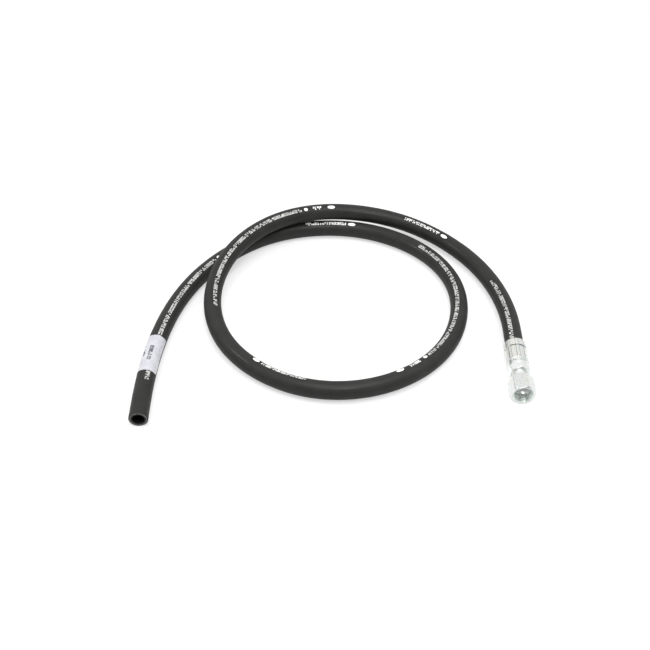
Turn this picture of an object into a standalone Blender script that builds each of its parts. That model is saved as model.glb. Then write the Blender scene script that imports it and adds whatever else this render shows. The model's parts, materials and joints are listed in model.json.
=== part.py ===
"""Hydraulic hose assembly: a 1/2 inch textile-braided hose with one crimped swivel-nut fitting.

The frame is metres with +Z up. The fitting lies along Y with its nut towards -Y, the whole
assembly rests on z = 0, and the origin is under the middle of the fitting. Every fitting piece
is turned about the local Z axis of the empty fitting_axis, which starts at the ferrule's mouth
and points to the front of the nut, so a station is a distance in front of that mouth.
"""

import math

import bmesh
import bpy
import numpy as np
from mathutils import Vector

# Hose, metres
BORE_RADIUS = 0.00635
HOSE_RADIUS = 0.0099
LAYER_GAP = 0.0003
TUBE_WALL = 0.0015
BRAID_WALL = 0.00075
HOSE_SIDES = 12
POINTS_PER_METRE = 24

# Fitting, metres
NUT_ACROSS_FLATS = 0.0238
STEM_ACROSS_FLATS = 0.0206
FITTING_LENGTH = 0.0732
FERRULE_LENGTH = 0.0303
CRIMP_START = 0.0098
CRIMP_END = 0.0270
CRIMP_ACROSS_FLATS = 0.0228
CRIMP_FLATS = 8
CRIMP_TURN = math.radians(0)
HOSE_INSERTION = 0.0252
STEM_BORE_RADIUS = 0.0046
STEM_FRONT = 0.0638
SEAT_RADIUS = 0.0081
SEAT_ANGLE = math.radians(37)
NOSE_RADIUS = 0.0089
TURNED_STEPS = 36
STEM_TURN = math.radians(6)
NUT_TURN = math.radians(15)

# Swivel: the wire sits half in the nut's groove and half in the stem's wider one
WIRE_RADIUS = 0.0010
WIRE_RING_RADIUS = 0.00905
WIRE_STATION = 0.0570
WIRE_SWEEP = math.radians(335)
NUT_PLAY = 0.0005
NUT_REAR = 0.0512
NUT_BORE_RADIUS = 0.00925
THREAD_MINOR_RADIUS = 0.00946

# Label on the hose, measured back from the cut end
LABEL_START = 0.060
LABEL_END = 0.113
LABEL_GAP = 0.0003
LABEL_THICKNESS = 0.0003
LABEL_ANGLES = (math.radians(-150), math.radians(79))
LABEL_STEPS = 16

MOUTH_Y = FITTING_LENGTH / 2
AXIS_HEIGHT = 0.01313

# The hose's centre line, from the ferrule's mouth round the loop to the cut end
ROUTE = [
    (0.000, MOUTH_Y, AXIS_HEIGHT),
    (0.000, 0.072, 0.0130),
    (-0.008, 0.127, 0.0118),
    (-0.030, 0.180, 0.0113),
    (-0.066, 0.223, 0.0133),
    (-0.113, 0.251, 0.0184),
    (-0.168, 0.261, 0.0248),
    (-0.223, 0.254, 0.0297),
    (-0.274, 0.229, 0.0312),
    (-0.312, 0.189, 0.0279),
    (-0.333, 0.137, 0.0215),
    (-0.333, 0.082, 0.0152),
    (-0.311, 0.030, 0.0115),
    (-0.271, -0.009, 0.0101),
    (-0.219, -0.031, 0.0099),
    (-0.164, -0.030, 0.0099),
    (-0.113, -0.007, 0.0099),
    (-0.075, 0.034, 0.0099),
    (-0.056, 0.087, 0.0099),
    (-0.058, 0.143, 0.0099),
    (-0.083, 0.193, 0.0099),
    (-0.126, 0.229, 0.0099),
    (-0.179, 0.247, 0.0099),
    (-0.236, 0.245, 0.0099),
    (-0.287, 0.225, 0.0099),
    (-0.329, 0.188, 0.0099),
    (-0.360, 0.141, 0.0099),
    (-0.379, 0.088, 0.0099),
    (-0.388, 0.032, 0.0099),
    (-0.390, -0.024, 0.0099),
    (-0.387, -0.080, 0.0099),
]


def clear_scene():
    for obj in list(bpy.data.objects):
        bpy.data.objects.remove(obj)


def material(name, colour, roughness, metallic=0.0):
    made = bpy.data.materials.new(name)
    made.use_nodes = True
    shader = made.node_tree.nodes["Principled BSDF"]
    shader.inputs["Base Color"].default_value = (*colour, 1)
    shader.inputs["Roughness"].default_value = roughness
    shader.inputs["Metallic"].default_value = metallic
    return made


def add_object(name, data, finish, parent=None):
    obj = bpy.data.objects.new(name, data)
    obj.data.materials.append(finish)
    obj.parent = parent
    bpy.context.scene.collection.objects.link(obj)
    return obj


def smooth_route(route, start_direction):
    """The natural cubic spline through the route, clamped at its start, as closely spaced points."""
    points = np.array(route)
    count = len(points)
    spans = np.linalg.norm(np.diff(points, axis=0), axis=1)
    matrix = np.eye(count)
    right = np.zeros((count, 3))
    right[0] = start_direction
    for i in range(1, count - 1):
        before, after = spans[i - 1], spans[i]
        matrix[i, i - 1 : i + 2] = after, 2 * (before + after), before
        right[i] = 3 * (
            after / before * (points[i] - points[i - 1]) + before / after * (points[i + 1] - points[i])
        )
    matrix[-1, -2:] = 1, 2
    right[-1] = 3 * (points[-1] - points[-2]) / spans[-1]
    slopes = np.linalg.solve(matrix, right)
    t = np.linspace(0, 1, 40, endpoint=False)[:, None]
    dense = []
    for i, span in enumerate(spans):
        start = (2 * t**3 - 3 * t**2 + 1) * points[i] + (t**3 - 2 * t**2 + t) * span * slopes[i]
        end = (3 * t**2 - 2 * t**3) * points[i + 1] + (t**3 - t**2) * span * slopes[i + 1]
        dense.append(start + end)
    return np.vstack([*dense, points[-1:]])


def lengths_along(points):
    steps = np.linalg.norm(np.diff(points, axis=0), axis=1)
    return np.concatenate([[0], np.cumsum(steps)])


def hose_points():
    """The hose's centre line: its end inside the ferrule, then even steps from mouth to cut end."""
    dense = smooth_route(ROUTE, (0, 1, 0))
    along = lengths_along(dense)
    steps = round(along[-1] * POINTS_PER_METRE)
    even = np.linspace(0, along[-1], steps + 1)
    free = np.column_stack([np.interp(even, along, dense[:, k]) for k in range(3)])
    inside = (0, MOUTH_Y - HOSE_INSERTION, AXIS_HEIGHT)
    return np.vstack([inside, free])


def hose_layer(name, points, outer_radius, wall, finish):
    """An open-ended tube along the hose: a bevelled curve, thickened inwards."""
    curve = bpy.data.curves.new(name, "CURVE")
    curve.dimensions = "3D"
    curve.bevel_depth = outer_radius
    curve.bevel_resolution = (HOSE_SIDES - 4) // 2
    curve.use_fill_caps = False
    spline = curve.splines.new("POLY")
    spline.points.add(len(points) - 1)
    for point, place in zip(spline.points, points):
        point.co = (*place, 1)
    layer = add_object(name, curve, finish)
    thicken = layer.modifiers.new("wall", "SOLIDIFY")
    thicken.thickness = wall
    thicken.offset = -1
    return layer


def make_hose(points):
    rubber = material("tube_rubber", (0.010, 0.010, 0.010), 0.6)
    yarn = material("braid_yarn", (0.22, 0.21, 0.19), 0.85)
    cover = material("cover_rubber", (0.025, 0.025, 0.024), 0.55)
    tube_radius = BORE_RADIUS + TUBE_WALL
    braid_radius = tube_radius + LAYER_GAP + BRAID_WALL
    cover_wall = HOSE_RADIUS - braid_radius - LAYER_GAP
    hose_layer("hose_inner_tube", points, tube_radius, TUBE_WALL, rubber)
    hose_layer("hose_textile_braid", points, braid_radius, BRAID_WALL, yarn)
    hose_layer("hose_outer_cover", points, HOSE_RADIUS, cover_wall, cover)


def stretch(points, start, end):
    """The part of a line between two distances from its start, with the corners it passes."""
    along = lengths_along(points)
    inner = [d for d in along if start < d < end]
    wanted = [start, *inner, end]
    return np.column_stack([np.interp(wanted, along, points[:, k]) for k in range(3)])


def make_label(points):
    """A sheet wrapped round the hose near its cut end, open along the side that lies down."""
    line = stretch(points[::-1], LABEL_START, LABEL_END)
    radius = HOSE_RADIUS + LABEL_GAP
    mesh = bpy.data.meshes.new("hose_label")
    sheet = bmesh.new()
    rows = []
    for centre, heading in zip(line, np.gradient(line, axis=0)):
        side = Vector(heading).cross(Vector((0, 0, 1))).normalized()
        row = []
        for angle in np.linspace(*LABEL_ANGLES, LABEL_STEPS + 1):
            outwards = Vector((0, 0, math.cos(angle))) + side * math.sin(angle)
            row.append(sheet.verts.new(Vector(centre) + outwards * radius))
        rows.append(row)
    for first, second in zip(rows, rows[1:]):
        for k in range(LABEL_STEPS):
            sheet.faces.new((first[k], first[k + 1], second[k + 1], second[k]))
    sheet.to_mesh(mesh)
    sheet.free()
    label = add_object("hose_label", mesh, material("label_paper", (0.72, 0.77, 0.88), 0.5))
    thicken = label.modifiers.new("paper", "SOLIDIFY")
    thicken.thickness = LABEL_THICKNESS
    thicken.offset = 1
    return label


def turned(name, outline, finish, axis, station=0.0):
    """A closed (station, radius) outline turned about the fitting's axis, its outer side first."""
    mesh = bpy.data.meshes.new(name)
    corners = [(radius, 0, along - station) for along, radius in outline]
    edges = [(k, (k + 1) % len(corners)) for k in range(len(corners))]
    mesh.from_pydata(corners, edges, [])
    obj = add_object(name, mesh, finish, axis)
    obj.location.z = station
    screw = obj.modifiers.new("turn", "SCREW")
    screw.angle = 2 * math.pi
    screw.steps = TURNED_STEPS
    screw.render_steps = TURNED_STEPS
    screw.use_merge_vertices = True
    screw.merge_threshold = 0.00001
    return obj


def polygon_loop(mesh, count, turn, radius, height):
    angles = [turn + 2 * math.pi * k / count for k in range(count)]
    return [mesh.verts.new((radius * math.sin(a), radius * math.cos(a), height)) for a in angles]


def flats_cutter(name, count, across_flats, turn, start, end, axis):
    """A thick ring with a polygonal hole, which leaves that many flats on what it cuts.

    turn is the angle from straight up, towards +X, of one corner between two flats.
    """
    ring = bmesh.new()
    corner_radius = across_flats / 2 / math.cos(math.pi / count)
    loops = [
        polygon_loop(ring, count, turn, radius, height)
        for radius, height in (
            (corner_radius, start),
            (2 * corner_radius, start),
            (2 * corner_radius, end),
            (corner_radius, end),
        )
    ]
    for first, second in zip(loops, loops[1:] + loops[:1]):
        for k in range(count):
            following = (k + 1) % count
            ring.faces.new((first[k], first[following], second[following], second[k]))
    bmesh.ops.recalc_face_normals(ring, faces=ring.faces)
    return helper(name, ring, axis)


def helper(name, shape, axis):
    """A hidden cutter made from a bmesh, in the fitting's own axes."""
    mesh = bpy.data.meshes.new(name)
    shape.to_mesh(mesh)
    shape.free()
    cutter = bpy.data.objects.new(name, mesh)
    cutter.parent = axis
    cutter.hide_render = True
    cutter.display_type = "WIRE"
    bpy.context.scene.collection.objects.link(cutter)
    return cutter


def cut(obj, cutter):
    boolean = obj.modifiers.new(cutter.name, "BOOLEAN")
    boolean.operation = "DIFFERENCE"
    boolean.solver = "EXACT"
    boolean.object = cutter


def make_ferrule(axis, zinc):
    """The crimp shell: a wide uncrimped mouth, eight crimp flats and an inner wall that locks."""
    mouth, ridge, front = 0.0121, 0.0118, 0.0110
    tooth_root, tooth_crest = 0.0106, 0.01025
    lock_radius, lock_groove = 0.0072, 0.0083
    outer = [
        (FERRULE_LENGTH, front - 0.0005),
        (FERRULE_LENGTH - 0.0005, front),
        (CRIMP_END + 0.0006, front),
        (CRIMP_END, ridge),
        (CRIMP_START, ridge),
        (CRIMP_START - 0.0006, mouth),
        (0.0007, mouth),
        (0.0, mouth - 0.0006),
    ]
    inner = [(0.0, 0.0112), (0.0010, tooth_root)]
    for start in (0.0090, 0.0145, 0.0200):
        inner += [(start, tooth_root), (start + 0.0004, tooth_crest)]
        inner += [(start + 0.0019, tooth_crest), (start + 0.0023, tooth_root)]
    inner += [
        (0.0257, tooth_root),
        (0.0257, lock_radius),
        (0.0272, lock_radius),
        (0.0272, lock_groove),
        (0.0288, lock_groove),
        (0.0288, lock_radius),
        (FERRULE_LENGTH, lock_radius),
    ]
    ferrule = turned("crimp_ferrule", outer + inner, zinc, axis)
    dies = (CRIMP_FLATS, CRIMP_ACROSS_FLATS, CRIMP_TURN, CRIMP_START, CRIMP_END)
    cut(ferrule, flats_cutter("crimp_dies", *dies, axis))
    return ferrule


def make_stem(axis, zinc):
    """The insert: barbed tail, locking rib, collar, hexagon, neck, wire groove, hollow cone seat."""
    barb_crest, barb_root, tail_end = 0.00585, 0.0053, 0.0015
    rib, lock, collar, neck = 0.0080, 0.0069, 0.0107, 0.0082
    hex_start, hex_end, hex_corner = 0.0345, 0.0438, 0.01165
    hex_front, front_chamfer, rear_chamfer = 0.0096, 0.0016, 0.0006
    groove_half = WIRE_RADIUS + NUT_PLAY + 0.00015
    groove_floor = WIRE_RING_RADIUS - WIRE_RADIUS - 0.00035
    nose_edge = 0.0003
    seat_depth = (SEAT_RADIUS - STEM_BORE_RADIUS) / math.tan(SEAT_ANGLE)
    outer = [
        (STEM_FRONT, NOSE_RADIUS - nose_edge),
        (STEM_FRONT - nose_edge, NOSE_RADIUS),
        (WIRE_STATION + groove_half, NOSE_RADIUS),
        (WIRE_STATION + groove_half, groove_floor),
        (WIRE_STATION - groove_half, groove_floor),
        (WIRE_STATION - groove_half, NOSE_RADIUS),
        (0.0530, NOSE_RADIUS),
        (0.0523, neck),
        (hex_end, neck),
        (hex_end, hex_front),
        (hex_end - front_chamfer, hex_corner),
        (hex_start + rear_chamfer, hex_corner),
        (hex_start, collar),
        (0.0309, collar),
        (0.0305, collar - 0.0004),
        (0.0305, lock),
        (0.0285, lock),
        (0.0285, rib),
        (0.0275, rib),
        (0.0275, lock),
        (HOSE_INSERTION + LAYER_GAP, lock),
        (HOSE_INSERTION + LAYER_GAP, barb_root),
    ]
    for crest in (0.0225, 0.0175, 0.0125, 0.0075):
        outer += [(crest, barb_root), (crest, barb_crest), (crest - 0.0042, barb_root)]
    outer += [(tail_end + 0.0004, barb_root), (tail_end, barb_root - 0.0004)]
    inner = [
        (tail_end, STEM_BORE_RADIUS),
        (STEM_FRONT - seat_depth, STEM_BORE_RADIUS),
        (STEM_FRONT, SEAT_RADIUS),
    ]
    stem = turned("hose_stem", outer + inner, zinc, axis)
    flats = (6, STEM_ACROSS_FLATS, STEM_TURN, hex_start + 0.0001, hex_end + 0.001)
    cut(stem, flats_cutter("stem_flats", *flats, axis))
    return stem


def make_nut(axis, zinc):
    """The swivel nut: a chamfered hexagon over a threaded socket, with the wire's groove behind."""
    front_face, rear_face, corner, chamfer = 0.0116, 0.0112, 0.0135, 0.0012
    groove_half = WIRE_RADIUS + 0.0003
    groove_root = WIRE_RING_RADIUS + WIRE_RADIUS + 0.00035
    mouth_radius, mouth_depth = 0.0106, 0.0012
    outline = [
        (FITTING_LENGTH, front_face),
        (FITTING_LENGTH - chamfer, corner),
        (NUT_REAR + chamfer, corner),
        (NUT_REAR, rear_face),
        (NUT_REAR, NUT_BORE_RADIUS + 0.0004),
        (NUT_REAR + 0.0004, NUT_BORE_RADIUS),
        (WIRE_STATION - groove_half, NUT_BORE_RADIUS),
        (WIRE_STATION - groove_half, groove_root),
        (WIRE_STATION + groove_half, groove_root),
        (WIRE_STATION + groove_half, NUT_BORE_RADIUS),
        (0.0610, NUT_BORE_RADIUS),
        (0.0613, THREAD_MINOR_RADIUS),
        (FITTING_LENGTH - mouth_depth, THREAD_MINOR_RADIUS),
        (FITTING_LENGTH, mouth_radius),
    ]
    nut = turned("swivel_nut", outline, zinc, axis, station=WIRE_STATION)
    flats = (6, NUT_ACROSS_FLATS, NUT_TURN, NUT_REAR - 0.001, FITTING_LENGTH + 0.001)
    cut(nut, flats_cutter("nut_flats", *flats, axis))
    cut(nut, wire_hole_cutter(axis))
    return nut


def wire_hole_cutter(axis):
    """The hole through a lower flat of the nut, in line with its groove, that the wire is fed in by."""
    hole_radius, reach = WIRE_RADIUS + 0.0002, 0.016
    hole = bmesh.new()
    bmesh.ops.create_cone(
        hole, cap_ends=True, segments=12, radius1=hole_radius, radius2=hole_radius, depth=reach
    )
    cutter = helper("wire_hole", hole, axis)
    cutter.rotation_euler = (0, math.pi / 2, 0)
    cutter.location = (reach / 2, -WIRE_RING_RADIUS, WIRE_STATION)
    return cutter


def make_wire(axis):
    """The thrust wire: a round wire bent to most of a ring, with square-cut ends."""
    steel = material("wire_steel", (0.55, 0.55, 0.56), 0.35, 1.0)
    wire = bpy.data.curves.new("thrust_wire", "CURVE")
    wire.dimensions = "3D"
    wire.bevel_depth = WIRE_RADIUS
    wire.bevel_resolution = 2
    wire.use_fill_caps = True
    spline = wire.splines.new("POLY")
    count = TURNED_STEPS
    spline.points.add(count - 1)
    for k, point in enumerate(spline.points):
        angle = WIRE_SWEEP * k / (count - 1)
        place = (math.cos(angle), -math.sin(angle))
        point.co = (WIRE_RING_RADIUS * place[0], WIRE_RING_RADIUS * place[1], 0, 1)
    obj = add_object("thrust_wire", wire, steel, axis)
    obj.location.z = WIRE_STATION
    return obj


def make_fitting_axis():
    axis = bpy.data.objects.new("fitting_axis", None)
    axis.location = (0, MOUTH_Y, AXIS_HEIGHT)
    axis.rotation_euler = (math.pi / 2, 0, 0)
    bpy.context.scene.collection.objects.link(axis)
    return axis


def main():
    clear_scene()
    points = hose_points()
    make_hose(points)
    make_label(points)
    axis = make_fitting_axis()
    zinc = material("zinc_plate", (0.72, 0.73, 0.72), 0.28, 1.0)
    make_ferrule(axis, zinc)
    make_stem(axis, zinc)
    make_nut(axis, zinc)
    make_wire(axis)


main()
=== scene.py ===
"""The looks of a hydraulic hose assembly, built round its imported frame.

Metres, +Z up. The fitting lies along Y with its nut towards -Y, and the hose leaves it towards
+Y, runs round a loop and ends cut open. Two ways of giving a place are used throughout:
- on the hose, a distance from the ferrule's mouth towards the cut end, an angle from straight up
  towards the right of that direction, and a radius;
- on the fitting, a station, which is the distance from the ferrule's mouth towards the front of
  the nut, an angle from straight up towards +X, and a radius.
"""

import json
import math

import bpy
import numpy as np
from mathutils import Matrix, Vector


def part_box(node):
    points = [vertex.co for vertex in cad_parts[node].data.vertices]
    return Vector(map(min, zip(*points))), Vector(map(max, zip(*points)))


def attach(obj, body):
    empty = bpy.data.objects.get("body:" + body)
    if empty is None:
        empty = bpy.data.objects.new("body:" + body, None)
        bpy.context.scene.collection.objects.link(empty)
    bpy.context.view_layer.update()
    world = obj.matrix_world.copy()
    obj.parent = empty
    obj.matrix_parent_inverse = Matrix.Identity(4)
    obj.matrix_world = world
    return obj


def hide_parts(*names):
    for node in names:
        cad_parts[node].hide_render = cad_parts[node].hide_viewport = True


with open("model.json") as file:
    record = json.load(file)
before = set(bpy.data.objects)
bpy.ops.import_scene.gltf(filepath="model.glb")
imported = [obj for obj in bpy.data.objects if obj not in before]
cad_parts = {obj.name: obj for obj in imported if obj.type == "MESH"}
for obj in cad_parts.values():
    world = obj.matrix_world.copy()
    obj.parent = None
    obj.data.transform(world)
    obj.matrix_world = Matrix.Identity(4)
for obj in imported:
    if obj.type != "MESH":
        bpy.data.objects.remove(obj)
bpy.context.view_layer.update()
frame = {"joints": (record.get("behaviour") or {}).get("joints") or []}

# Where the frame puts the fitting
SPIN = next(joint for joint in frame["joints"] if joint["name"] == "nut_spin")
AXIS_HEIGHT = SPIN["pos_m"][2]
MOUTH_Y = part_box("crimp_ferrule")[1].y
WIRE_STATION = MOUTH_Y - SPIN["pos_m"][1]
FERRULE_LENGTH = MOUTH_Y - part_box("crimp_ferrule")[0].y
STEM_FRONT = MOUTH_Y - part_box("hose_stem")[0].y
NUT_REAR = MOUTH_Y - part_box("swivel_nut")[1].y
NUT_FRONT = MOUTH_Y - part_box("swivel_nut")[0].y

# The hose's layers, from its surface to its bore, and how far apart the rings of their skins are.
# The surface is a hair under the CAD's, which leaves room for the marks of the cloth wrap.
HOSE_RADIUS = 0.00985
COVER_INNER = 0.0089
BRAID_INNER = 0.0079
BORE_RADIUS = 0.00635
LAYER_CLEARANCE = 0.00003
HOSE_INSERTION = 0.0252
RING_STEP = 0.002
INNER_STEP = 0.006

# The fitting: its hexagons, the cone seat in its nose, the crimp and the thread
NUT_ACROSS_FLATS = 0.0238
NUT_TURN = math.radians(15)
STEM_ACROSS_FLATS = 0.0206
STEM_TURN = math.radians(6)
SEAT_ANGLE = math.radians(37)
CRIMP_FLATS = 8
CRIMP_TURN = math.radians(0)
CRIMP_START = 0.0098
CRIMP_END = 0.0270
THREAD_PITCH = 0.0254 / 16
THREAD_MINOR = 0.00946
THREAD_DEPTH = 0.00086
THREAD_START = 0.0613
WIRE_RADIUS = 0.001
WIRE_RING_RADIUS = 0.00905
WIRE_SWEEP = math.radians(335)

# The label: where it lies along the hose and how far round it goes
LABEL_SPAN = (1.5554, 1.6084)
LABEL_ANGLES = (math.radians(-79), math.radians(150))
LABEL_RADIUS = 0.01012
LABEL_THICKNESS = 0.00012

# Ink: how far it stands proud of what it is printed on, and how thick its plates are
INK_HEIGHT = 0.00016
HOSE_INK_DEPTH = 0.00012
LABEL_INK_DEPTH = 0.00013

# The hose's centre line, from the ferrule's mouth round the loop to the cut end
ROUTE = [
    (0.000, MOUTH_Y, AXIS_HEIGHT),
    (0.000, 0.072, 0.0130),
    (-0.008, 0.127, 0.0118),
    (-0.030, 0.180, 0.0113),
    (-0.066, 0.223, 0.0133),
    (-0.113, 0.251, 0.0184),
    (-0.168, 0.261, 0.0248),
    (-0.223, 0.254, 0.0297),
    (-0.274, 0.229, 0.0312),
    (-0.312, 0.189, 0.0279),
    (-0.333, 0.137, 0.0215),
    (-0.333, 0.082, 0.0152),
    (-0.311, 0.030, 0.0115),
    (-0.271, -0.009, 0.0101),
    (-0.219, -0.031, 0.0099),
    (-0.164, -0.030, 0.0099),
    (-0.113, -0.007, 0.0099),
    (-0.075, 0.034, 0.0099),
    (-0.056, 0.087, 0.0099),
    (-0.058, 0.143, 0.0099),
    (-0.083, 0.193, 0.0099),
    (-0.126, 0.229, 0.0099),
    (-0.179, 0.247, 0.0099),
    (-0.236, 0.245, 0.0099),
    (-0.287, 0.225, 0.0099),
    (-0.329, 0.188, 0.0099),
    (-0.360, 0.141, 0.0099),
    (-0.379, 0.088, 0.0099),
    (-0.388, 0.032, 0.0099),
    (-0.390, -0.024, 0.0099),
    (-0.387, -0.080, 0.0099),
]


def add_object(name, data):
    made = bpy.data.objects.new(name, data)
    bpy.context.scene.collection.objects.link(made)
    return made


# ---- Camera, floor and light ---------------------------------------------------------------


def make_camera():
    data = bpy.data.cameras.new("camera")
    data.lens = 48.74
    data.sensor_width = 36
    camera = add_object("camera", data)
    camera.location = (-0.1798, -0.6575, 0.6705)
    camera.rotation_euler = (math.radians(47.63), 0, math.radians(2.07))
    bpy.context.scene.camera = camera


def make_light(name, place, target, size, power, spread=180):
    """A round lamp at a place, turned to a target. The spread is in degrees."""
    data = bpy.data.lights.new(name, "AREA")
    data.shape = "DISK"
    data.size = size
    data.energy = power
    data.spread = math.radians(spread)
    light = add_object(name, data)
    light.location = place
    light.rotation_euler = (Vector(target) - Vector(place)).to_track_quat("-Z", "Y").to_euler()


def make_tent():
    """White surroundings, a little darker low down and darker still towards the camera."""
    world = bpy.data.worlds.new("tent")
    world.use_nodes = True
    tree = world.node_tree
    background = tree.nodes["Background"]
    place = tree.nodes.new("ShaderNodeTexCoord")
    split = tree.nodes.new("ShaderNodeSeparateXYZ")
    tree.links.new(place.outputs["Generated"], split.inputs[0])
    height = ramp(tree, split.outputs["Z"], (0.0, 0.84), (0.5, 1.0))
    depth = arithmetic(tree, "MULTIPLY_ADD", split.outputs["Y"], 0.5, 0.5)
    front = ramp(tree, depth, (0.08, 0.35), (0.38, 1.0))
    tree.links.new(arithmetic(tree, "MULTIPLY", height, front), background.inputs["Color"])
    background.inputs["Strength"].default_value = 1.0
    bpy.context.scene.world = world
    bpy.context.scene.view_settings.view_transform = "Standard"


def make_lights():
    """A large soft light above, two small lamps that draw faint streaks on the rubber, and a
    narrow beam that finds the cone seat through the nut's open end."""
    middle = (-0.2, 0.1, 0)
    make_light("overhead", (-0.1, -0.15, 1.6), middle, 1.3, 20)
    make_light("left_lamp", (-1.15, 0.18, 1.05), middle, 0.17, 3.2)
    make_light("front_lamp", (-0.05, -0.55, 1.35), middle, 0.17, 3.6)
    lowest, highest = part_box("swivel_nut")
    nut = lowest.lerp(highest, 0.5)
    make_light("nut_lamp", nut + Vector((-0.23, -0.66, 0.93)), nut, 0.21, 0.035, 9)


def make_floor():
    """A wide white table, lit partly from within, as an overexposed one looks."""
    half, drop = 6, 0.0002
    corners = [(-half, -half, 0), (half, -half, 0), (half, half, 0), (-half, half, 0)]
    mesh = bpy.data.meshes.new("floor")
    mesh.from_pydata(corners, [], [(0, 1, 2, 3)])
    floor = add_object("floor", mesh)
    floor.location.z = -drop
    paper, _, shader = new_material("floor_paper")
    shader.inputs["Base Color"].default_value = (0.36, 0.36, 0.36, 1)
    shader.inputs["Roughness"].default_value = 0.9
    shader.inputs["Specular IOR Level"].default_value = 0.1
    shader.inputs["Emission Color"].default_value = (1, 1, 1, 1)
    shader.inputs["Emission Strength"].default_value = 0.55
    mesh.materials.append(paper)


# ---- Materials -----------------------------------------------------------------------------


def new_material(name):
    """(material, its node tree, its Principled shader)"""
    made = bpy.data.materials.new(name)
    made.use_nodes = True
    tree = made.node_tree
    return made, tree, tree.nodes["Principled BSDF"]


def coordinates(tree, kind):
    """The object's own coordinates or its UV map."""
    return tree.nodes.new("ShaderNodeTexCoord").outputs[kind]


def noise(tree, where, scale, detail=3.0, roughness=0.5):
    node = tree.nodes.new("ShaderNodeTexNoise")
    node.inputs["Scale"].default_value = scale
    node.inputs["Detail"].default_value = detail
    node.inputs["Roughness"].default_value = roughness
    tree.links.new(where, node.inputs["Vector"])
    return node.outputs["Fac"]


def wave(tree, where, scale, direction, distortion=0.0):
    node = tree.nodes.new("ShaderNodeTexWave")
    node.wave_type = "BANDS"
    node.bands_direction = direction
    node.inputs["Scale"].default_value = scale
    node.inputs["Distortion"].default_value = distortion
    tree.links.new(where, node.inputs["Vector"])
    return node.outputs["Fac"]


def ramp(tree, value, *stops):
    """A colour ramp through (position, colour) stops. A colour may be one grey number."""
    node = tree.nodes.new("ShaderNodeValToRGB")
    elements = node.color_ramp.elements
    while len(elements) < len(stops):
        elements.new(0.5)
    for element, (position, colour) in zip(elements, stops):
        element.position = position
        element.color = (colour, colour, colour, 1) if isinstance(colour, float) else (*colour, 1)
    tree.links.new(value, node.inputs["Fac"])
    return node.outputs["Color"]


def arithmetic(tree, operation, *values):
    node = tree.nodes.new("ShaderNodeMath")
    node.operation = operation
    for socket, value in zip(node.inputs, values):
        if isinstance(value, (int, float)):
            socket.default_value = value
        else:
            tree.links.new(value, socket)
    return node.outputs["Value"]


def blended(tree, share, first, second):
    """The first colour where share is 0, the second where it is 1."""
    node = tree.nodes.new("ShaderNodeMix")
    node.data_type = "RGBA"
    sockets = [s for s in node.inputs if s.type == "RGBA"]
    tree.links.new(share, node.inputs["Factor"])
    for socket, colour in zip(sockets, (first, second)):
        if isinstance(colour, tuple):
            socket.default_value = (*colour, 1)
        else:
            tree.links.new(colour, socket)
    return next(s for s in node.outputs if s.type == "RGBA")


def add_bump(tree, shader, height, strength, distance):
    node = tree.nodes.new("ShaderNodeBump")
    node.inputs["Strength"].default_value = strength
    node.inputs["Distance"].default_value = distance
    tree.links.new(height, node.inputs["Height"])
    tree.links.new(node.outputs["Normal"], shader.inputs["Normal"])


def cover_rubber():
    """Black rubber that was cured under a cloth wrap: its weave and scuffs stay in the surface."""
    made, tree, shader = new_material("cover_rubber")
    along = coordinates(tree, "UV")
    solid = coordinates(tree, "Object")
    weave = arithmetic(
        tree, "MULTIPLY", wave(tree, along, 620.0, "X"), wave(tree, along, 620.0, "Y")
    )
    cloudy = noise(tree, solid, 55.0, 4.0)
    speckle = noise(tree, solid, 900.0, 2.0, 0.6)
    dust = blended(
        tree,
        ramp(tree, cloudy, (0.35, 0.0), (0.75, 1.0)),
        (0.0080, 0.0080, 0.0073),
        (0.0140, 0.0140, 0.0127),
    )
    fleck = ramp(tree, speckle, (0.56, 0.0), (0.74, 0.55))
    tree.links.new(blended(tree, fleck, dust, (0.032, 0.032, 0.028)), shader.inputs["Base Color"])
    tree.links.new(ramp(tree, speckle, (0.3, 0.62), (0.7, 0.80)), shader.inputs["Roughness"])
    shader.inputs["Specular IOR Level"].default_value = 0.30
    shader.inputs["Coat Weight"].default_value = 0.11
    shader.inputs["Coat Roughness"].default_value = 0.22
    height = arithmetic(tree, "ADD", weave, arithmetic(tree, "MULTIPLY", speckle, 1.4))
    add_bump(tree, shader, height, 0.5, 0.00012)
    return made


def cut_rubber(name, shade):
    """Rubber with a knife-cut face or a smooth bore."""
    made, tree, shader = new_material(name)
    grain = noise(tree, coordinates(tree, "Object"), 1600.0, 3.0, 0.7)
    tree.links.new(ramp(tree, grain, (0.3, shade * 0.6), (0.75, shade * 1.5)), shader.inputs["Base Color"])
    shader.inputs["Roughness"].default_value = 0.8
    shader.inputs["Specular IOR Level"].default_value = min(0.5, shade * 12)
    add_bump(tree, shader, grain, 0.5, 0.0001)
    return made


def braid_yarn():
    """Grey-white yarn ends, darkened between the strands by the rubber they are set in."""
    made, tree, shader = new_material("braid_yarn")
    strands = noise(tree, coordinates(tree, "Object"), 2100.0, 2.0, 0.7)
    rubber, dull_yarn, pale_yarn = (0.03, 0.03, 0.028), (0.12, 0.118, 0.11), (0.28, 0.275, 0.255)
    colour = ramp(tree, strands, (0.3, rubber), (0.55, dull_yarn), (0.8, pale_yarn))
    tree.links.new(colour, shader.inputs["Base Color"])
    shader.inputs["Roughness"].default_value = 0.85
    shader.inputs["Sheen Weight"].default_value = 0.3
    add_bump(tree, shader, strands, 0.8, 0.0002)
    return made


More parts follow.
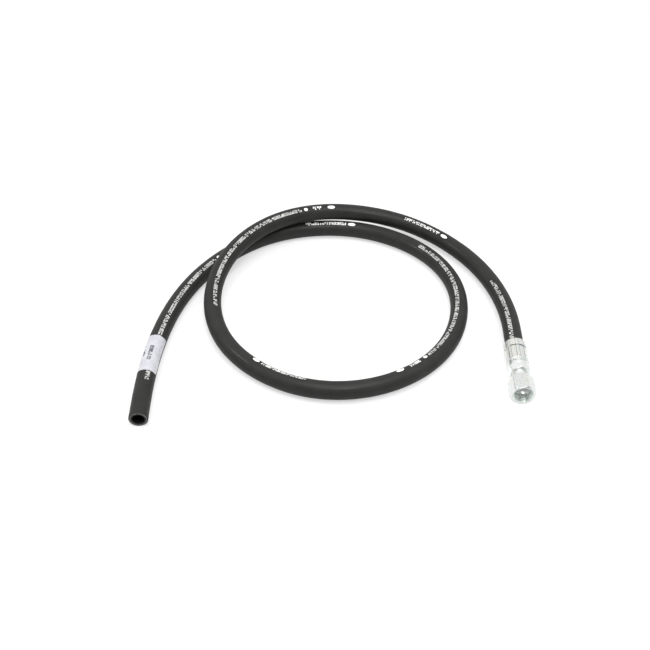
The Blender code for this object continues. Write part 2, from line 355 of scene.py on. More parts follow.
def zinc_plate(name, shade, warmth, rings):
    """Bright zinc: silvery with a faint cloud of colour, turning rings and fine scratches.

    shade is how light it is, warmth how much redder its cloud is, and rings how close they lie.
    """
    made, tree, shader = new_material(name)
    solid = coordinates(tree, "Object")
    along = coordinates(tree, "UV")
    cloud = noise(tree, solid, 120.0, 3.0)
    cool = (0.96 * shade, shade, shade)
    warm = (shade + warmth, shade, 0.95 * shade - warmth)
    colour = blended(tree, ramp(tree, cloud, (0.38, 0.0), (0.66, 1.0)), cool, warm)
    tree.links.new(colour, shader.inputs["Base Color"])
    shader.inputs["Metallic"].default_value = 1.0
    scuff = noise(tree, solid, 480.0, 4.0, 0.65)
    tree.links.new(ramp(tree, scuff, (0.3, 0.22), (0.7, 0.38)), shader.inputs["Roughness"])
    lathe = arithmetic(tree, "MULTIPLY", wave(tree, along, rings, "X", 1.5), 0.5)
    add_bump(tree, shader, arithmetic(tree, "ADD", lathe, scuff), 0.18, 0.00005)
    return made


def shadowed_zinc(name, shade):
    """Dull, greenish zinc for grooves, creases and bores. At a low shade its darkness is painted shade, as
    in the ferrule's groove and creases and the stem's bore.
    """
    made, tree, shader = new_material(name)
    stain = noise(tree, coordinates(tree, "Object"), 420.0, 3.0)
    dull = (shade * 0.75, shade * 0.82, shade * 0.78)
    bright = (shade * 1.2, shade * 1.28, shade * 1.22)
    tree.links.new(ramp(tree, stain, (0.35, dull), (0.7, bright)), shader.inputs["Base Color"])
    shader.inputs["Metallic"].default_value = 0.9
    tree.links.new(ramp(tree, stain, (0.3, 0.3), (0.7, 0.5)), shader.inputs["Roughness"])
    add_bump(tree, shader, stain, 0.2, 0.00006)
    return made


def seat_painted_highlight():
    """The smooth-finished cone that seals: more even than the rest of the plating. Its lighter,
    half-diffuse colour is a painted highlight, added to the nut lamp's real reflection on it.
    """
    made, tree, shader = new_material("seat_zinc")
    cloud = noise(tree, coordinates(tree, "Object"), 300.0, 2.0)
    tree.links.new(ramp(tree, cloud, (0.3, 0.90), (0.7, 0.96)), shader.inputs["Base Color"])
    shader.inputs["Metallic"].default_value = 0.55
    shader.inputs["Roughness"].default_value = 0.32
    return made


def wire_steel():
    made, tree, shader = new_material("wire_steel")
    drawn = noise(tree, coordinates(tree, "Object"), 700.0, 3.0)
    tree.links.new(ramp(tree, drawn, (0.3, 0.42), (0.7, 0.6)), shader.inputs["Base Color"])
    shader.inputs["Metallic"].default_value = 1.0
    tree.links.new(ramp(tree, drawn, (0.3, 0.25), (0.7, 0.45)), shader.inputs["Roughness"])
    add_bump(tree, shader, drawn, 0.2, 0.00005)
    return made


def label_film():
    """Greyish paper behind a clear film, speckled where the film hasn't wetted it."""
    made, tree, shader = new_material("label_film")
    solid = coordinates(tree, "Object")
    speckle = noise(tree, solid, 620.0, 3.0, 0.65)
    cloud = noise(tree, solid, 90.0, 2.0)
    pale = blended(
        tree, ramp(tree, cloud, (0.35, 0.0), (0.65, 1.0)), (0.41, 0.41, 0.455), (0.50, 0.50, 0.53)
    )
    spots = ramp(tree, speckle, (0.52, 0.0), (0.68, 0.75))
    tree.links.new(blended(tree, spots, pale, (0.30, 0.30, 0.33)), shader.inputs["Base Color"])
    shader.inputs["Roughness"].default_value = 0.45
    shader.inputs["Coat Weight"].default_value = 0.3
    shader.inputs["Coat Roughness"].default_value = 0.2
    add_bump(tree, shader, speckle, 0.25, 0.0001)
    return made


def ink(name, colour, worn):
    """Printing ink that is darker by the share worn in places, or lighter where worn is negative."""
    made, tree, shader = new_material(name)
    grain = noise(tree, coordinates(tree, "Object"), 1500.0, 2.0, 0.6)
    faded = tuple(value * (1 - worn) for value in colour)
    mottled = blended(tree, ramp(tree, grain, (0.42, 1.0), (0.6, 0.0)), colour, faded)
    tree.links.new(mottled, shader.inputs["Base Color"])
    shader.inputs["Roughness"].default_value = 0.6
    return made


# ---- The hose ------------------------------------------------------------------------------


def smooth_route(route, start_direction):
    """The natural cubic spline through the route, clamped at its start, as closely spaced points."""
    points = np.array(route)
    count = len(points)
    spans = np.linalg.norm(np.diff(points, axis=0), axis=1)
    matrix = np.eye(count)
    right = np.zeros((count, 3))
    right[0] = start_direction
    for i in range(1, count - 1):
        before, after = spans[i - 1], spans[i]
        matrix[i, i - 1 : i + 2] = after, 2 * (before + after), before
        right[i] = 3 * (
            after / before * (points[i] - points[i - 1]) + before / after * (points[i + 1] - points[i])
        )
    matrix[-1, -2:] = 1, 2
    right[-1] = 3 * (points[-1] - points[-2]) / spans[-1]
    slopes = np.linalg.solve(matrix, right)
    t = np.linspace(0, 1, 40, endpoint=False)[:, None]
    dense = []
    for i, span in enumerate(spans):
        start = (2 * t**3 - 3 * t**2 + 1) * points[i] + (t**3 - 2 * t**2 + t) * span * slopes[i]
        end = (3 * t**2 - 2 * t**3) * points[i + 1] + (t**3 - t**2) * span * slopes[i + 1]
        dense.append(start + end)
    return np.vstack([*dense, points[-1:]])


class HoseLine:
    """The hose's centre line and the directions across it, read by distance from the mouth."""

    def __init__(self):
        free = smooth_route(ROUTE, (0, 1, 0))
        inserted = np.array([[0, MOUTH_Y - HOSE_INSERTION, AXIS_HEIGHT]])
        self.points = np.vstack([inserted, free])
        steps = np.linalg.norm(np.diff(self.points, axis=0), axis=1)
        self.along = np.concatenate([[0], np.cumsum(steps)]) - HOSE_INSERTION
        self.length = self.along[-1]
        headings = np.gradient(self.points, axis=0)
        self.headings = headings / np.linalg.norm(headings, axis=1)[:, None]

    def read(self, values, distance):
        return np.stack([np.interp(distance, self.along, values[:, k]) for k in range(3)], axis=-1)

    def place(self, distance, angle, radius):
        """Points at a distance, angle and radius, which broadcast. Past an end they go straight on."""
        distance, angle, radius = np.broadcast_arrays(
            *(np.asarray(value, float) for value in (distance, angle, radius))
        )
        heading = self.read(self.headings, distance)
        heading = heading / np.linalg.norm(heading, axis=-1)[..., None]
        side = np.cross(heading, (0, 0, 1))
        side = side / np.linalg.norm(side, axis=-1)[..., None]
        up = np.cross(side, heading)
        beyond = distance - np.clip(distance, self.along[0], self.length)
        centre = self.read(self.points, distance) + heading * beyond[..., None]
        across = up * np.cos(angle)[..., None] + side * np.sin(angle)[..., None]
        return centre + across * radius[..., None]


def closed_skin(name, rings, finishes, ring_finish=None):
    """A closed skin through rings of points: each ring joins the next, and the last the first.

    The UV map holds metres along the rings' outline and metres round the first ring. ring_finish
    gives, for each ring or each spot on it, which of the finishes the skin after it wears.
    """
    count = len(rings[0])
    vertices = np.concatenate(rings)
    total = len(rings)
    ring = np.arange(total)[:, None]
    spot = np.arange(count)[None, :]
    here, there = ring * count, (ring + 1) % total * count
    following = (spot + 1) % count
    faces = np.stack(
        np.broadcast_arrays(here + spot, here + following, there + following, there + spot), axis=-1
    ).reshape(-1, 4)
    corners = vertices[faces]
    crossed = np.cross(corners[:, 2] - corners[:, 0], corners[:, 3] - corners[:, 1])
    outward = (corners.mean(axis=1) * crossed).sum() > 0
    if not outward:
        faces = faces[:, ::-1]
    mesh = bpy.data.meshes.new(name)
    mesh.from_pydata(vertices.tolist(), [], faces.tolist())
    set_skin_map(mesh, rings, outward)
    for finish in finishes:
        mesh.materials.append(finish)
    if ring_finish is not None:
        faces_each = total * count // np.size(ring_finish)
        worn = np.repeat(ring_finish, faces_each).astype(np.int32)
        mesh.polygons.foreach_set("material_index", worn)
    finish_mesh(mesh)
    return add_object(name, mesh)


def set_skin_map(mesh, rings, outward):
    total, count = len(rings), len(rings[0])
    first_spots = np.array([ring[0] for ring in rings])
    steps = np.linalg.norm(np.diff(first_spots, axis=0, append=first_spots[:1]), axis=1)
    run = np.concatenate([[0], np.cumsum(steps)])
    girth = np.linalg.norm(np.diff(rings[0], axis=0, append=rings[0][:1]), axis=1).sum()
    round_it = np.linspace(0, girth, count + 1)
    u = np.stack([run[:-1], run[:-1], run[1:], run[1:]], axis=1)[:, None, :].repeat(count, axis=1)
    v = np.stack([round_it[:-1], round_it[1:], round_it[1:], round_it[:-1]], axis=1)
    v = v[None, :, :].repeat(total, axis=0)
    corners = np.stack([u, v], axis=-1).reshape(-1, 4, 2)
    if not outward:
        corners = corners[:, ::-1]
    layer = mesh.uv_layers.new(name="surface")
    layer.data.foreach_set("uv", corners.astype(np.float32).ravel())


def finish_mesh(mesh, sharp_degrees=38):
    mesh.validate()
    mesh.shade_smooth()
    mesh.set_sharp_from_angle(angle=math.radians(sharp_degrees))


def hose_layer(line, name, outer, inner, sides, step, finishes, cut, bulge=None):
    """One layer of the hose as a closed skin, with a slightly rounded edge at the cut end."""
    angles = np.linspace(0, 2 * math.pi, sides, endpoint=False)
    surface, face, bore = 0, 1, len(finishes) - 1
    ease, plain_end = 0.00025, 0.002
    rows = round((line.length + HOSE_INSERTION) / step)
    stations = np.linspace(line.along[0], line.length - plain_end, rows)
    rings, ring_finish = [], []

    def add_ring(distance, radius, finish):
        rings.append(line.place(distance, angles, radius))
        ring_finish.append(finish)

    for station in stations:
        swell = 0 if bulge is None else bulge(station, angles)
        add_ring(station, outer + swell, surface)
    end = line.length + cut(angles)
    add_ring(end - ease, outer, surface)
    add_ring(end - ease * 0.3, outer - ease * 0.3, surface)
    add_ring(end, outer - ease, face)
    for share in (0.3, 0.6):
        add_ring(end, outer - ease + (inner + ease - outer) * share, face)
    add_ring(end, inner + ease * 0.5, face)
    add_ring(end - ease * 0.5, inner, bore)
    for station in stations[::-3]:
        add_ring(station, inner, bore)
    return closed_skin(name, rings, finishes, ring_finish)


def wrap_marks(station, angles):
    """The cloth tape's edge, a low spiral ridge, and the slight unevenness that it leaves."""
    tape_width, ridge, ridge_width = 0.052, 0.00009, 0.0011
    turn = (station / tape_width + angles / (2 * math.pi)) % 1.0
    behind_edge = turn * tape_width
    uneven = 0.00004 * np.sin(station * 310 + 2 * angles) * np.sin(station * 97)
    return ridge * np.exp(-behind_edge / ridge_width) + uneven


def rough_cut(depth, phase):
    """How far the cut end stands proud round the hose, as a knife leaves it."""

    def cut(angles):
        slant = 0.4 * np.cos(angles - 1.1)
        ripple = 0.35 * np.sin(3 * angles + phase) + 0.25 * np.sin(7 * angles + 2 * phase)
        return depth * (slant + ripple)

    return cut


def yarn_ends(angles):
    """The braid's cut end: a ring of tufts."""
    return 0.00012 + 0.00010 * np.abs(np.sin(21 * angles)) + 0.00006 * np.sin(5 * angles)


def make_hose(line):
    surface = cover_rubber()
    cut_face = cut_rubber("cut_cover", 0.03)
    cover = hose_layer(
        line, "hose_cover", HOSE_RADIUS, COVER_INNER, 64, RING_STEP,
        [surface, cut_face], rough_cut(0.00022, 0.0), wrap_marks,
    )
    yarn = braid_yarn()
    braid = hose_layer(
        line, "hose_braid", COVER_INNER - LAYER_CLEARANCE, BRAID_INNER, 126, INNER_STEP,
        [yarn, yarn], yarn_ends,
    )
    tube = hose_layer(
        line, "hose_tube", BRAID_INNER - LAYER_CLEARANCE, BORE_RADIUS, 64, INNER_STEP,
        # The bore's rubber is far darker than the tube's own: painted shade inside the bore.
        [cut_rubber("tube_skin", 0.02), cut_rubber("cut_tube", 0.02), cut_rubber("bore_rubber", 0.006)],
        rough_cut(0.00018, 1.3),
    )
    pairs = ((cover, "hose_outer_cover"), (braid, "hose_textile_braid"), (tube, "hose_inner_tube"))
    slots = ("cover_rubber", "braid_yarn", "tube_rubber")
    for (piece, node), slot in zip(pairs, slots):
        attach(piece, "hose_and_stem")
        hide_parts(node)
    return cover, braid, tube


# ---- Printing on the hose ------------------------------------------------------------------

# The print runs along the hose: a lozenge and a heavy strip of strokes, then another lozenge, a
# heavy group and a disc, then a long line of thin strokes. That comes three times. Before it, at
# the ferrule, is the end of one more long line.
LOZENGES = (0.2025, 0.3555, 0.7025, 0.8675, 1.2175, 1.3705)
DISCS = (0.3885, 0.9025, 1.4045)
HEAVY_STRIPS = ((0.2105, 0.2620), (0.7105, 0.7650), (1.2250, 1.2780))
HEAVY_GROUPS = ((0.3685, 0.3825), (0.8805, 0.8950), (1.3840, 1.3980))
THIN_LINES = ((0.0030, 0.1060), (0.3945, 0.6015), (0.9075, 1.1230), (1.4100, 1.6225))

# How far from straight up the print lies, in degrees at distances: the hose is a little twisted
PRINT_ANGLES = (
    (0.00, -22),
    (0.11, -23),
    (0.20, -16),
    (0.26, -17),
    (0.35, -20),
    (0.42, -24),
    (0.56, -22),
    (0.72, -21),
    (0.90, -20),
    (1.00, -17),
    (1.28, -16),
    (1.45, -19),
    (1.63, -22),
)

# Rows of strokes: their height, the width of a stroke, and a stroke and a gap together
HEAVY_STRIP_STYLE = (0.0041, 0.0012, 0.0019)
HEAVY_GROUP_STYLE = (0.0047, 0.0014, 0.0021)
THIN_LINE_STYLE = (0.0044, 0.0008, 0.0016)
LABEL_LARGE_STYLE = (0.0042, 0.0013, 0.0020)
LABEL_SMALL_STYLE = (0.0020, 0.0005, 0.0009)


class Plates:
    """Thin plates of ink laid on the hose or its label, gathered into one mesh."""

    def __init__(self, line, printed_radius, depth):
        self.line = line
        self.radius = printed_radius + INK_HEIGHT
        self.depth = depth
        self.vertices = []
        self.faces = []

    def add(self, across, starts, ends, distance, angle):
        """A closed plate that follows the hose's curve: at each place across, from start to end."""
        first, count = len(self.vertices), len(across)
        along = distance + np.stack([starts, ends], axis=-1)
        around = angle + np.stack([across, across], axis=-1) / self.radius
        for radius in (self.radius, self.radius - self.depth):
            self.vertices += self.line.place(along, around, radius).reshape(-1, 3).tolist()
        top = first + 2 * np.arange(count)
        under = top + 2 * count
        for k in range(count - 1):
            for near, far in ((top, top + 1), (top + 1, under + 1), (under + 1, under), (under, top)):
                self.faces.append([int(near[k]), int(near[k + 1]), int(far[k + 1]), int(far[k])])
        for k in (0, count - 1):
            cap = [int(top[k]), int(top[k] + 1), int(under[k] + 1), int(under[k])]
            self.faces.append(cap if k == 0 else cap[::-1])

    def bar(self, width, low, high, distance, angle):
        across = np.linspace(low, high, max(2, math.ceil((high - low) / 0.001) + 1))
        self.add(across, np.zeros(len(across)), np.full(len(across), width), distance, angle)

    def disc(self, half_length, half_width, distance, angle):
        turns = np.radians(np.linspace(-80, 80, 12))
        reach = half_length * np.cos(turns)
        self.add(half_width * np.sin(turns), -reach, reach, distance, angle)

    def made(self, name, finish):
        mesh = bpy.data.meshes.new(name)
        mesh.from_pydata(self.vertices, [], self.faces)
        mesh.materials.append(finish)
        return add_object(name, mesh)


def add_strokes(plates, start, end, style, angle_at, seed):
    """A row of separate upright strokes, whole, short or broken, like print too small to read."""
    height, stroke, pitch = style
    half = height / 2
    whole, lower, upper = [(-1, 1)], [(-1, 0.1)], [(-0.1, 1)]
    broken_low, broken_high = [(-1, -0.3), (0.1, 1)], [(-1, 0), (0.4, 1)]
    shapes = [whole, whole, lower, upper, broken_low, broken_high]
    draw = np.random.default_rng(seed)
    distance = start
    while distance < end - pitch:
        width = stroke * draw.uniform(0.7, 1.3)
        for low, high in shapes[draw.integers(len(shapes))]:
            plates.bar(width, low * half, high * half, distance, angle_at(distance))
        distance += width + (pitch - stroke) * draw.choice([0.7, 0.9, 1.1, 2.2])


def print_angle(distance):
    places, degrees = zip(*PRINT_ANGLES)
    return math.radians(np.interp(distance, places, degrees))


def make_print(line):
    heavy = Plates(line, HOSE_RADIUS, HOSE_INK_DEPTH)
    thin = Plates(line, HOSE_RADIUS, HOSE_INK_DEPTH)
    mark_half_width, lozenge_half_length, disc_half_length = 0.0023, 0.0047, 0.0024
    for centre in LOZENGES:
        heavy.disc(lozenge_half_length, mark_half_width, centre, print_angle(centre))
    for centre in DISCS:
        heavy.disc(disc_half_length, mark_half_width, centre, print_angle(centre))
    for seed, (start, end) in enumerate(HEAVY_STRIPS):
        add_strokes(heavy, start, end, HEAVY_STRIP_STYLE, print_angle, seed)
    for seed, (start, end) in enumerate(HEAVY_GROUPS):
        add_strokes(heavy, start, end, HEAVY_GROUP_STYLE, print_angle, seed)
    for seed, (start, end) in enumerate(THIN_LINES):
        add_strokes(thin, start, end, THIN_LINE_STYLE, print_angle, seed + 20)
    pieces = [
        heavy.made("hose_print_heavy", ink("white_ink", (0.86, 0.86, 0.84), 0.08)),
        thin.made("hose_print_line", ink("thin_white_ink", (0.74, 0.74, 0.72), 0.3)),
    ]
    for piece in pieces:
        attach(piece, "hose_and_stem")
    return pieces


# ---- The label -----------------------------------------------------------------------------


def label_rim(rows, columns):
    """The numbers of the points round the edge of a grid, in order."""
    rim = list(range(columns))
    rim += [i * columns + columns - 1 for i in range(1, rows)]
    rim += [(rows - 1) * columns + j for j in range(columns - 2, -1, -1)]
    rim += [i * columns for i in range(rows - 2, 0, -1)]
    return rim


def make_label(line):
    """A thin wrap with rounded corners. The edge at its first angle has begun to lift."""
    rows, columns = 60, 72
    lengthwise = np.linspace(0, 1, rows)[:, None]
    crosswise = np.linspace(0, 1, columns)[None, :]
    corner = 0.0015
    width = LABEL_RADIUS * (LABEL_ANGLES[1] - LABEL_ANGLES[0])
    length = LABEL_SPAN[1] - LABEL_SPAN[0]
    from_edge = np.minimum(crosswise, 1 - crosswise) * width
    rounding = corner - np.sqrt(np.maximum(corner**2 - (corner - from_edge) ** 2, 0))
    inset = np.where(from_edge < corner, rounding, 0)
    distance = LABEL_SPAN[0] + inset + lengthwise * (length - 2 * inset)
    angle = LABEL_ANGLES[0] + crosswise * (LABEL_ANGLES[1] - LABEL_ANGLES[0])
    lift = 0.00035 * np.exp(-crosswise * width / 0.0018)
    ripple = 0.00005 * np.sin(crosswise * 23 + lengthwise * 5) * np.sin(lengthwise * 14 + crosswise * 6)
    vertices, faces = [], []
    for radius in (LABEL_RADIUS, LABEL_RADIUS - LABEL_THICKNESS):
        vertices += line.place(distance, angle, radius + lift + ripple).reshape(-1, 3).tolist()
    under = rows * columns
    for i in range(rows - 1):
        for j in range(columns - 1):
            near, far = i * columns + j, (i + 1) * columns + j
            top = [near, near + 1, far + 1, far]
            faces.append(top[::-1])
            faces.append([under + k for k in top])
    rim = label_rim(rows, columns)
    for first, second in zip(rim, rim[1:] + rim[:1]):
        faces.append([first, second, under + second, under + first])
    mesh = bpy.data.meshes.new("length_label")
    mesh.from_pydata(vertices, [], faces)
    mesh.materials.append(label_film())
    finish_mesh(mesh)
    label = add_object("length_label", mesh)
    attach(label, "hose_and_stem")
    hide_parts("hose_label")
    return label, (width, length)


def make_label_print(line):
    """A row of large strokes along the label's top and a short row of small ones beside it."""
    printed = Plates(line, LABEL_RADIUS, LABEL_INK_DEPTH)
    add_strokes(printed, 1.5720, 1.5965, LABEL_LARGE_STYLE, lambda _: math.radians(-3), 3)
    add_strokes(printed, 1.5790, 1.5880, LABEL_SMALL_STYLE, lambda _: math.radians(38), 5)
    piece = printed.made("label_print", ink("grey_ink", (0.035, 0.035, 0.045), -0.8))
    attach(piece, "hose_and_stem")
    return piece


# ---- The fitting ---------------------------------------------------------------------------


def soft_min(first, second, softness=0.00007):
    """The lesser of two radii, with the edge where they meet rounded."""
    return -softness * np.logaddexp(-first / softness, -second / softness)


def from_corner(angles, count, turn):
    """Each angle's distance from the nearest of count corners, the first of them at turn."""
    sector = 2 * math.pi / count
    return np.abs((angles - turn + sector / 2) % sector - sector / 2)


def polygon(angles, count, across_flats, turn):
    """The radius of a regular polygon."""
    return across_flats / 2 / np.cos(math.pi / count - from_corner(angles, count, turn))


def close_angles(count, turn, even=120):
    """Angles round a piece: even ones, and more on each side of its corners."""
    corners = turn + np.arange(count) * 2 * math.pi / count
    near = np.radians([-9, -6, -4, -2.6, -1.6, -0.8, 0, 0.8, 1.6, 2.6, 4, 6, 9])
    spread = (corners[:, None] + near[None, :]).ravel()
    angles = np.concatenate([np.linspace(0, 2 * math.pi, even, endpoint=False), spread]) % (2 * math.pi)
    angles = np.sort(angles)
    gaps = np.diff(angles, append=angles[0] + 2 * math.pi)
    return angles[gaps > math.radians(0.35)]


def eased(corners, size=0.00018):
    """An outline of (station, radius) corners with each corner cut to a small round."""
    corners = np.array(corners)
    outline = []
    for before, corner, after in zip(np.roll(corners, 1, axis=0), corners, np.roll(corners, -1, axis=0)):
        into, out_of = before - corner, after - corner
        reach = min(size, np.linalg.norm(into) * 0.45, np.linalg.norm(out_of) * 0.45)
        start = corner + into / np.linalg.norm(into) * reach
        end = corner + out_of / np.linalg.norm(out_of) * reach
        for t in (0, 0.33, 0.67, 1):
            outline.append((1 - t) ** 2 * start + 2 * t * (1 - t) * corner + t**2 * end)
    return np.array(outline)


def divided(outline, step, fine_step=None, is_fine=None):
    """A closed outline with its long spans divided, more finely where both ends are_fine."""
    made = []
    for here, there in zip(outline, np.roll(outline, -1, axis=0)):
        fine = is_fine is not None and is_fine(*here) and is_fine(*there)
        pieces = max(1, math.ceil(np.linalg.norm(there - here) / (fine_step if fine else step)))
        for k in range(pieces):
            made.append(here + (there - here) * k / pieces)
    return np.array(made)


def fitting_rings(outline, angles, shape):
    """The rings of a turned piece. shape(station, radius, angles) gives each ring's radii."""
    rings = []
    for station, radius in outline:
        radii = np.broadcast_to(shape(station, radius, angles), angles.shape)
        y = np.full(len(angles), MOUTH_Y - station)
        rings.append(np.column_stack([radii * np.sin(angles), y, AXIS_HEIGHT + radii * np.cos(angles)]))
    return rings


def die_marks(angles):
    """The crimped radius round the ferrule: eight pressed faces with a ridge between each two."""
    crown_top, face_limit, ridge_half = 0.01188, 0.01152, 0.0017
    away = from_corner(angles, CRIMP_FLATS, CRIMP_TURN) * 0.0118
    face = polygon(angles, CRIMP_FLATS, 0.0227, CRIMP_TURN)
    crease = 0.00038 * np.exp(-(((away - 0.0018) / 0.00022) ** 2))
    pressed = np.minimum(face, face_limit) - crease
    rise = np.clip((ridge_half - away) / 0.0003, 0, 1)
    rise = rise * rise * (3 - 2 * rise)
    crown = crown_top - 0.00012 * (away / 0.0015) ** 2
    return pressed + (crown - pressed) * rise


def groove_bite(angles):
    """How deep the ferrule's groove is round it: 1 about its top, 0 underneath."""
    off_top = np.abs((angles - math.radians(12) + math.pi) % (2 * math.pi) - math.pi)
    return np.clip((math.radians(58) - off_top) / math.radians(16), 0, 1)


def make_ferrule():
    """The crimp shell. A narrow groove, deep on its upper side only, parts its round mouth from
    the crimped length."""
    mouth, front, groove_floor, groove_start = 0.0121, 0.0110, 0.0109, 0.0091
    lining, ridge, crimped_limit = 0.0103, 0.0119, 0.0116
    hole, rim, lining_end = 0.0072, 0.0098, 0.0257
    outline = [
        (FERRULE_LENGTH, rim),
        (FERRULE_LENGTH, front),
        (CRIMP_END + 0.0004, front),
        (CRIMP_END, ridge),
        (CRIMP_START, ridge),
        (CRIMP_START, groove_floor),
        (groove_start, groove_floor),
        (groove_start, mouth),
        (0.0, mouth),
        (0.0, lining + 0.001),
        (0.0014, lining),
        (lining_end, lining),
        (lining_end, hole),
        (FERRULE_LENGTH - 0.0002, hole),
        (FERRULE_LENGTH - 0.0002, rim),
    ]
    outline = divided(eased(outline, 0.00012), 0.0009)
    angles = close_angles(CRIMP_FLATS, CRIMP_TURN, 320)
    bite = groove_bite(angles)
    from_ridge = from_corner(angles, CRIMP_FLATS, CRIMP_TURN)
    # The die creases; the skin along them gets a painted shade.
    in_crease = np.abs(from_ridge * ridge - 0.0018) < 0.00028

    def shape(station, radius, angles):
        if radius < groove_floor - 0.0004:
            return radius
        if station <= groove_start + 0.0001:
            return radius - 0.00028 * np.exp(-(((from_ridge * mouth - 0.0017) / 0.00025) ** 2))
        crimped = soft_min(max(radius, crimped_limit), die_marks(angles))
        lowered = np.minimum(radius, crimped)
        if station < CRIMP_START + 0.0022:
            return lowered * bite + crimped * (1 - bite)
        return lowered

    plain, groove, crease = range(3)

    def worn(station, radius):
        """Which finish the skin wears at each of the angles: painted shade in the upper part of the groove
        and along the die creases, plain zinc elsewhere.
        """
        grooved = groove_start - 0.0002 < station < CRIMP_START + 0.0002 and lining < radius < 0.0117
        creased = 0.0005 < station < CRIMP_END + 0.0001 and radius > 0.0113
        finish = np.where(in_crease & creased, crease, plain)
        return np.where(grooved & (bite > 0.6), groove, finish)

    finishes = [
        zinc_plate("ferrule_zinc", 0.76, 0.02, 500.0),
        # painted shade: near-black zinc for the groove's dark line on its upper side
        shadowed_zinc("groove_zinc", 0.10),
        # painted shade: grey zinc along the die creases
        shadowed_zinc("crease_zinc", 0.4),
    ]
    ring_finish = np.array([worn(*place) for place in outline])
    rings = fitting_rings(outline, angles, shape)
    return closed_skin("crimped_ferrule", rings, finishes, ring_finish)


def make_stem():
    """The insert: its barbed tail in the hose, collar, hexagon, neck and nose, and its bore."""
    barb_crest, barb_root, barb_length, tail_end = 0.00585, 0.0053, 0.0042, 0.0015
    shoulder, shoulder_end = 0.0069, 0.0305
    collar, neck, corner = 0.0107, 0.0082, 0.01165
    hex_start, hex_end, hex_front = 0.0345, 0.0438, 0.0096
    bore, seat, nose, nose_start = 0.0046, 0.0081, 0.0089, 0.0530
    groove_floor, groove_half = 0.0077, 0.00165
    seat_depth = (seat - bore) / math.tan(SEAT_ANGLE)
    outline = [
        (STEM_FRONT, nose),
        (WIRE_STATION + groove_half, nose),
        (WIRE_STATION + groove_half, groove_floor),
        (WIRE_STATION - groove_half, groove_floor),
        (WIRE_STATION - groove_half, nose),
        (nose_start, nose),
        (nose_start - 0.0007, neck),
        (hex_end, neck),
        (hex_end, hex_front),
        (hex_end - 0.0016, corner),
        (hex_start + 0.0006, corner),
        (hex_start + 0.0001, collar - 0.0002),
        (hex_start, collar),
        (shoulder_end + 0.0004, collar),
        (shoulder_end, collar - 0.0004),
        (shoulder_end, shoulder),
        (HOSE_INSERTION + 0.0003, shoulder),
        (HOSE_INSERTION + 0.0003, barb_root),
    ]
    for crest in (0.0225, 0.0175, 0.0125, 0.0075):
        outline += [(crest, barb_root), (crest, barb_crest), (crest - barb_length, barb_root)]
    outline += [
        (tail_end + 0.0004, barb_root),
        (tail_end, barb_root - 0.0004),
        (tail_end, bore),
        (STEM_FRONT - seat_depth, bore),
        (STEM_FRONT, seat),
    ]

    def is_fine(station, radius):
        return hex_start < station and radius > 0.0094

    outline = divided(eased(outline), 0.0008, 0.00014, is_fine)
    angles = close_angles(6, STEM_TURN)

    def shape(station, radius, angles):
        if radius < 0.0095 or station < hex_start + 0.00005:
            return radius
        return soft_min(radius, polygon(angles, 6, STEM_ACROSS_FLATS, STEM_TURN))

    plain, bored, seat_with_painted_highlight = range(3)

    def worn(station, radius):
        if radius < bore + 0.0003:
            return bored
        on_seat = station > STEM_FRONT - 0.006 and radius < seat + 0.0001
        return seat_with_painted_highlight if on_seat else plain

    finishes = [
        zinc_plate("stem_zinc", 0.83, -0.01, 700.0),
        # painted shade: darker zinc inside the bore
        shadowed_zinc("bore_zinc", 0.5),
        # painted highlight: the seat's lighter, half-diffuse colour
        seat_painted_highlight(),
    ]
    ring_finish = [worn(station, radius) for station, radius in outline]
    rings = fitting_rings(outline, angles, shape)
    return closed_skin("hose_stem_insert", rings, finishes, ring_finish)


def thread_radius(station, angles):
    """A right-hand internal thread: crests at its minor radius, sharp grooves between them."""
    turn = (station / THREAD_PITCH + angles / (2 * math.pi)) % 1.0
    groove = np.clip(1.15 - np.abs(turn - 0.5) * 3.2, 0, 1)
    fade = np.clip((station - THREAD_START - 0.0001) / 0.0008, 0, 1)
    return THREAD_MINOR + THREAD_DEPTH * groove * fade


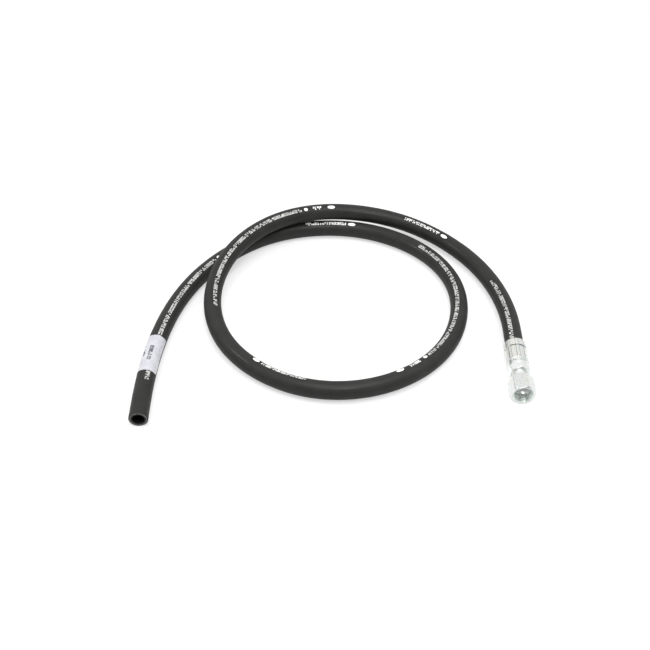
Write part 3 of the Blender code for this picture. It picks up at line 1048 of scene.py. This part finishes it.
def make_nut():
    """The hexagon nut: chamfered ends, a smooth rear bore, the wire's groove and the thread."""
    corner, bore = 0.0135, 0.00925
    front_face, rear_face = 0.0116, 0.0109
    mouth, mouth_depth = 0.0106, 0.0012
    groove_floor, groove_half = 0.0104, 0.0013
    outline = [
        (NUT_FRONT, mouth),
        (NUT_FRONT, front_face),
        (NUT_FRONT - 0.0012, corner),
        (NUT_REAR + 0.0017, corner),
        (NUT_REAR, rear_face),
        (NUT_REAR, bore + 0.0003),
        (NUT_REAR + 0.0003, bore),
        (WIRE_STATION - groove_half, bore),
        (WIRE_STATION - groove_half, groove_floor),
        (WIRE_STATION + groove_half, groove_floor),
        (WIRE_STATION + groove_half, bore),
        (THREAD_START - 0.0003, bore),
        (THREAD_START, THREAD_MINOR),
        (NUT_FRONT - mouth_depth, THREAD_MINOR),
    ]
    outside = 0.0107

    def shape(station, radius, angles):
        if radius > outside:
            return soft_min(radius, polygon(angles, 6, NUT_ACROSS_FLATS, NUT_TURN))
        if station > THREAD_START and radius < mouth:
            return np.maximum(radius, thread_radius(station, angles))
        return radius

    def is_fine(station, radius):
        threaded = station > THREAD_START - 0.0001 and radius < mouth + 0.0002
        chamfered = radius > outside and not NUT_REAR + 0.0019 < station < NUT_FRONT - 0.0014
        return threaded or chamfered

    outline = divided(eased(outline), 0.0005, 0.00016, is_fine)
    angles = close_angles(6, NUT_TURN)
    finishes = [zinc_plate("nut_zinc", 0.71, 0.0, 600.0), shadowed_zinc("socket_zinc", 0.72)]
    ring_finish = [int(radius < mouth - 0.0003) for _, radius in outline]
    rings = fitting_rings(outline, angles, shape)
    return closed_skin("hex_swivel_nut", rings, finishes, ring_finish)


def make_wire():
    """The wire that holds the nut on: most of a ring, in the grooves between nut and stem."""
    curve = bpy.data.curves.new("nut_wire", "CURVE")
    curve.dimensions = "3D"
    curve.bevel_depth = WIRE_RADIUS
    curve.bevel_resolution = 6
    curve.use_fill_caps = True
    spline = curve.splines.new("POLY")
    count = 90
    spline.points.add(count - 1)
    for k, point in enumerate(spline.points):
        angle = math.pi / 2 + WIRE_SWEEP * k / (count - 1)
        x, z = WIRE_RING_RADIUS * math.sin(angle), WIRE_RING_RADIUS * math.cos(angle)
        point.co = (x, MOUTH_Y - WIRE_STATION, AXIS_HEIGHT + z, 1)
    curve.materials.append(wire_steel())
    return add_object("nut_wire", curve)


def make_fitting():
    pieces = (
        (make_ferrule(), "hose_and_stem", "crimp_ferrule", "zinc_plate"),
        (make_stem(), "hose_and_stem", "hose_stem", "zinc_plate"),
        (make_wire(), "thrust_wire", "thrust_wire", "wire_steel"),
        (make_nut(), "swivel_nut", "swivel_nut", "zinc_plate"),
    )
    for piece, body, node, slot in pieces:
        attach(piece, body)
        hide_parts(node)


# ---- All of it -----------------------------------------------------------------------------


def main():
    make_camera()
    line = HoseLine()
    cover, braid, tube = make_hose(line)
    prints = make_print(line)
    label, label_flat = make_label(line)
    label_print = make_label_print(line)
    make_fitting()
    make_tent()
    make_lights()
    make_floor()


main()
